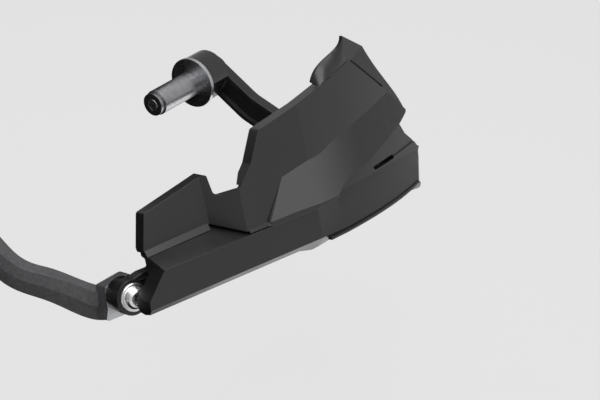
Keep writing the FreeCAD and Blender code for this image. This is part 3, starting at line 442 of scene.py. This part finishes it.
def insert_brass(name):
    """Brass of the moulded-in inserts: warm yellow, slightly tarnished."""
    material, tree = new_material(name)
    place = own_place(tree)
    return finish_material(material, tree, {
        "Base Color": tinted(tree, place, 1.5 * MM, "#c9a65a", "#ab8743"),
        "Metallic": 1.0,
        "Roughness": varied(tree, place, 1 * MM, 0.28, 0.42),
    })


# Pieces


def dress(node, materials):
    """Gives a node its materials, the first of them to every face."""
    mesh = NODES[node].data
    mesh.materials.clear()
    for material in materials:
        mesh.materials.append(material)
    for face in mesh.polygons:
        face.material_index = 0
    return NODES[node]


def takes_painted_sheen(face):
    """Whether a face of the deflector takes the band's painted sheen: part of the raised band, or of the step
    up to it, where the paler colour is painted light on a wall in shade.
    """
    to_guard = GUARD.inverted()
    normal = to_guard.to_3x3() @ face.normal
    place = to_guard @ face.center / MM
    least, most = (share * math.tan(BAND_ANGLE) for share in BAND_SHARES)
    on_band = normal.y < -BAND_AHEAD and least < -normal.z / normal.y < most
    # The step's faces take the paler colour as painted light, which hides the shade on their inboard wall
    on_step = (
        normal.x < -STEP_INBOARD
        and STEP_ALONG[0] < place.x < STEP_ALONG[1]
        and place.y < STEP_FRONT
        and STEP_HEIGHTS[0] < place.z < STEP_HEIGHTS[1])
    return on_band or on_step


def rim_section(along, upper_front, lower_front, lap, top, bottom):
    """The corners of one section of the rim, in the row."""
    back = upper_front + RIM_THICK
    seat = max(bottom + RIM_SEAT_OVER, RIM_SEAT)
    corners = (
        (upper_front, top),
        (lower_front, bottom + RIM_FOOT),
        (lower_front, bottom + RIM_CHAMFER),
        (lower_front + RIM_CHAMFER, bottom),
        (lap, bottom),
        (lap, seat),
        (back, seat + RIM_SEAT_RISE),
        (back, top),
    )
    return [GUARD @ (Vector((along, y, z)) * MM) for y, z in corners]


class MouldingsOperator(bpy.types.Operator):
    """Finishes the moulded shell and the deflector"""

    bl_idname = "handguard.mouldings"
    bl_label = "Mouldings"

    def execute(self, context):
        finishes = context.scene.guard_finishes
        edges = context.scene.guard_edges
        shell = moulded_polypropylene(
            "grained_polypropylene", finishes.shell_black, "#121213", finishes.grain,
            depth=0.02 * MM, roughness=0.36, edge=edges.moulded)
        smooth = moulded_polypropylene(
            "satin_polypropylene", finishes.deflector_black, "#161617", finishes.grain,
            depth=0.008 * MM, roughness=0.32, edge=edges.moulded)
        # The band's colour is a painted sheen, paler than the deflector's for the light its tipped face
        # catches; the blasting gives only its roughness and grain
        band = dull_band_with_painted_sheen("dull_polypropylene", finishes.band_painted_sheen, finishes.deflector_black, edges.moulded)
        dress("guard_shell", [shell])
        deflector = dress("wind_deflector", [smooth, band])
        # Band and step faces take the painted sheen
        for face in deflector.data.polygons:
            if takes_painted_sheen(face):
                face.material_index = 1
        return {"FINISHED"}


class RimOperator(bpy.types.Operator):
    """Adds the thin rim along the deflector's lower edge, which covers the joint with the shell"""

    bl_idname = "handguard.rim"
    bl_label = "Deflector rim"

    def execute(self, context):
        shape = bmesh.new()
        rings = [[shape.verts.new(corner) for corner in rim_section(*sizes)] for sizes in RIM]
        for ring, following in zip(rings, rings[1:]):
            for i in range(len(ring)):
                j = (i + 1) % len(ring)
                shape.faces.new((ring[i], ring[j], following[j], following[i]))
        shape.faces.new(rings[0])
        shape.faces.new(reversed(rings[-1]))
        bmesh.ops.recalc_face_normals(shape, faces=shape.faces)
        mesh = bpy.data.meshes.new("deflector_rim")
        shape.to_mesh(mesh)
        shape.free()
        mesh.materials.append(bpy.data.materials["satin_polypropylene"])
        rim = bpy.data.objects.new("deflector_rim", mesh)
        context.scene.collection.objects.link(rim)
        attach(rim, "root")
        return {"FINISHED"}


class BackboneOperator(bpy.types.Operator):
    """Finishes the forged backbone"""

    bl_idname = "handguard.backbone"
    bl_label = "Backbone"

    def execute(self, context):
        scene = context.scene
        coat = powder_coat(
            "powder_coated_forging", scene.guard_finishes.coat_black, "#141415",
            grain=1.1 * MM, mottle=25 * MM, roughness=0.36, edge=scene.guard_edges.forged)
        dress("backbone", [coat])
        return {"FINISHED"}


class BarEndOperator(bpy.types.Operator):
    """Finishes the turned pieces: the ring, both spacers, the washer, the bolt and the expander"""

    bl_idname = "handguard.bar_end"
    bl_label = "Bar end"

    def execute(self, context):
        edge = context.scene.guard_edges.turned
        black = anodised_aluminium("anodised_aluminium", context.scene.guard_finishes.anodised_black, edge)
        steel = turned_steel("turned_steel", edge)
        zinc = zinc_plate("zinc_plated_steel", edge)
        finishes = {
            "bar_end_ring": bright_aluminium("turned_aluminium", edge),
            "bar_end_spacer": black,
            "pivot_spacer": black,
            "expander_sleeve": steel,
            "expander_cone": steel,
            "bar_end_washer": zinc,
            "bar_end_bolt": zinc,
        }
        for node, material in finishes.items():
            dress(node, [material])
        return {"FINISHED"}


class ArmOperator(bpy.types.Operator):
    """Finishes the cast arm and its clamp cap"""

    bl_idname = "handguard.arm"
    bl_label = "Arm"

    def execute(self, context):
        scene = context.scene
        coat = powder_coat(
            "coated_casting", scene.guard_finishes.cast_grey, "#39393b",
            grain=0.9 * MM, mottle=2 * MM, roughness=0.4, edge=scene.guard_edges.forged)
        milled = bright_aluminium("milled_aluminium", scene.guard_edges.turned)
        arm = dress("inner_arm", [coat, milled])
        dress("clamp_cap", [coat])
        for face in arm.data.polygons:
            if face.normal.dot(AHEAD) > MILLED_AHEAD:
                face.material_index = 1
        return {"FINISHED"}


class FixingsOperator(bpy.types.Operator):
    """Finishes the screws, washers and inserts"""

    bl_idname = "handguard.fixings"
    bl_label = "Fixings"

    def execute(self, context):
        black = black_oxide("black_oxide_steel")
        brass = insert_brass("insert_brass")
        for node in ("clamp_screws", "clamp_washers", "shell_screws", "shell_washers",
                     "deflector_screws", "deflector_washers"):
            dress(node, [black])
        for node in ("shell_inserts", "deflector_inserts"):
            dress(node, [brass])
        dress("pivot_screw", [bpy.data.materials["zinc_plated_steel"]])
        return {"FINISHED"}


class StudioOperator(bpy.types.Operator):
    """Sets the floor, the lamps, the room and the camera"""

    bl_idname = "handguard.studio"
    bl_label = "Studio"

    def execute(self, context):
        studio = context.scene.guard_studio
        low, high = CAD_BOX
        middle = (low + high) / 2
        floor = low.z - studio.floor_drop
        self.add_floor(floor, middle)
        for name, setting, size, offset in SOFTBOXES:
            self.add_lamp(name, getattr(studio, setting), size, middle + Vector(offset), middle)
        below = Vector((high.x, low.y, floor + FLOOR_BOX_LIFT))
        self.add_lamp("floor_softbox", studio.below, FLOOR_BOX_SIZE, below, below + Vector((0, 0, 1)))
        self.add_card(floor + CARD_LIFT, low, high)
        self.add_room(context.scene, studio.room)
        self.add_camera(context.scene, studio)
        context.scene.view_settings.view_transform = "Standard"
        return {"FINISHED"}

    def add_floor(self, height, middle):
        """A plain pale floor that shows near white and keeps the guard's soft shadow."""
        mesh = bpy.data.meshes.new("floor")
        shape = bmesh.new()
        bmesh.ops.create_grid(shape, x_segments=1, y_segments=1, size=FLOOR_SIZE)
        shape.to_mesh(mesh)
        shape.free()
        floor = bpy.data.objects.new("floor", mesh)
        floor.location = (middle.x, middle.y, height)
        bpy.context.scene.collection.objects.link(floor)
        material, tree = new_material("pale_floor")
        rays = add_node(tree, "ShaderNodeLightPath")
        seen = add_node(
            tree, "ShaderNodeMath",
            {0: rays.outputs["Is Camera Ray"], 1: rays.outputs["Is Glossy Ray"]}, operation="MAXIMUM")
        paper = add_node(tree, "ShaderNodeBsdfDiffuse", {"Color": linear(FLOOR_PAPER)})
        glow = add_node(tree, "ShaderNodeEmission", {"Color": linear(BACKDROP), "Strength": 1.0})
        share = add_node(
            tree, "ShaderNodeMath", {0: seen.outputs["Value"], 1: FLOOR_SHOWS}, operation="MULTIPLY")
        mix = add_node(tree, "ShaderNodeMixShader", {0: share.outputs["Value"]})
        tree.links.new(paper.outputs["BSDF"], mix.inputs[1])
        tree.links.new(glow.outputs["Emission"], mix.inputs[2])
        add_node(tree, "ShaderNodeOutputMaterial", {"Surface": mix.outputs["Shader"]})
        mesh.materials.append(material)

    def add_card(self, floor, low, high):
        """A black card behind and below the guard, seen in reflections only, which darkens its far sides."""
        left = low.x - CARD_INBOARD
        right = high.x + CARD_OUTBOARD
        low_start, low_end = (low.x + reach for reach in CARD_LOW_STRETCH)
        walls = (
            (left, low_start, high.z),
            (low_start, low_end, low.z + CARD_LOW_TOP),
            (low_end, right, high.z + CARD_OVER),
        )
        split = low.x + MAT_SPLIT
        mats = ((left, split, low.y + MAT_FRONTS[0]), (split, right, low.y + MAT_FRONTS[1]))
        sheets = [(start, end, (CARD_BACK, floor), (CARD_BACK, top)) for start, end, top in walls]
        sheets += [(start, end, (front, floor), (CARD_BACK, floor)) for start, end, front in mats]
        corners = []
        for start, end, near, far in sheets:
            corners += [(start, *near), (end, *near), (end, *far), (start, *far)]
        mesh = bpy.data.meshes.new("black_card")
        faces = [range(first, first + 4) for first in range(0, len(corners), 4)]
        mesh.from_pydata(corners, [], faces)
        card = bpy.data.objects.new("black_card", mesh)
        bpy.context.scene.collection.objects.link(card)
        material, tree = new_material("black_card")
        cloth = add_node(tree, "ShaderNodeBsdfDiffuse", {"Color": linear(CARD_CLOTH)})
        add_node(tree, "ShaderNodeOutputMaterial", {"Surface": cloth.outputs["BSDF"]})
        mesh.materials.append(material)
        card.visible_camera = card.visible_diffuse = card.visible_shadow = card.visible_transmission = False

    def add_lamp(self, name, power, size, place, target):
        """A square softbox that is turned to the target."""
        data = bpy.data.lights.new(name, "AREA")
        data.shape = "SQUARE"
        data.size = size
        data.energy = power
        lamp = bpy.data.objects.new(name, data)
        lamp.location = place
        lamp.rotation_euler = (target - place).to_track_quat("-Z", "Y").to_euler()
        lamp.visible_camera = False
        bpy.context.scene.collection.objects.link(lamp)

    def add_room(self, scene, brightness):
        """A grey room, brighter ahead and outboard of the guard, which the camera sees as near white."""
        world = bpy.data.worlds.new("room")
        scene.world = world
        world.use_nodes = True
        tree = world.node_tree
        tree.nodes.clear()
        rays = add_node(tree, "ShaderNodeLightPath")
        ray = add_node(tree, "ShaderNodeTexCoord").outputs["Generated"]
        facing = add_node(tree, "ShaderNodeVectorMath", {0: ray, 1: ROOM_BRIGHT}, operation="DOT_PRODUCT")
        dimmest = ROOM_DIM * brightness
        level = add_node(
            tree, "ShaderNodeMapRange",
            {"Value": facing.outputs["Value"], "From Min": -1.0, "To Min": dimmest, "To Max": brightness},
            interpolation_type="SMOOTHSTEP")
        grey = add_node(
            tree, "ShaderNodeBackground", {"Color": linear(ROOM_GREY), "Strength": level.outputs["Result"]})
        pale = add_node(tree, "ShaderNodeBackground", {"Color": linear(BACKDROP), "Strength": 1.0})
        mix = add_node(tree, "ShaderNodeMixShader", {0: rays.outputs["Is Camera Ray"]})
        tree.links.new(grey.outputs["Background"], mix.inputs[1])
        tree.links.new(pale.outputs["Background"], mix.inputs[2])
        add_node(tree, "ShaderNodeOutputWorld", {"Surface": mix.outputs["Shader"]})

    def add_camera(self, scene, studio):
        """The camera, at the photograph's angle."""
        data = bpy.data.cameras.new("camera")
        data.sensor_width = SENSOR_WIDTH
        data.lens = studio.lens
        data.clip_start = CLIP_START
        camera = bpy.data.objects.new("camera", data)
        camera.location = studio.camera_place
        camera.rotation_euler = (math.pi / 2 - studio.elevation, 0, -studio.azimuth)
        scene.collection.objects.link(camera)
        scene.camera = camera


class HandGuardPanel(bpy.types.Panel):
    """Lists the guard's settings and steps"""

    bl_idname = "VIEW3D_PT_hand_guard"
    bl_label = "Hand guard"
    bl_space_type = "VIEW_3D"
    bl_region_type = "UI"
    bl_category = "Hand guard"

    def draw(self, context):
        for name in SETTINGS:
            group = getattr(context.scene, name)
            box = self.layout.box()
            for key in group.__annotations__:
                box.prop(group, key)
        for step in STEPS:
            self.layout.operator(step.bl_idname)


SETTINGS = {"guard_finishes": GuardFinishes, "guard_edges": GuardEdges, "guard_studio": GuardStudio}
STEPS = (
    MouldingsOperator,
    RimOperator,
    BackboneOperator,
    BarEndOperator,
    ArmOperator,
    FixingsOperator,
    StudioOperator,
)


def register():
    """Registers the settings, the steps and the panel."""
    for group in SETTINGS.values():
        bpy.utils.register_class(group)
    for step in STEPS:
        bpy.utils.register_class(step)
    bpy.utils.register_class(HandGuardPanel)
    for name, group in SETTINGS.items():
        setattr(bpy.types.Scene, name, bpy.props.PointerProperty(type=group))


def unregister():
    """Takes back what register adds."""
    for name in SETTINGS:
        delattr(bpy.types.Scene, name)
    bpy.utils.unregister_class(HandGuardPanel)
    for step in reversed(STEPS):
        bpy.utils.unregister_class(step)
    for group in reversed(SETTINGS.values()):
        bpy.utils.unregister_class(group)


def main():
    """Runs every step."""
    register()
    for step in STEPS:
        space, name = step.bl_idname.split(".")
        getattr(getattr(bpy.ops, space), name)()


if __name__ == "__main__":
    main()
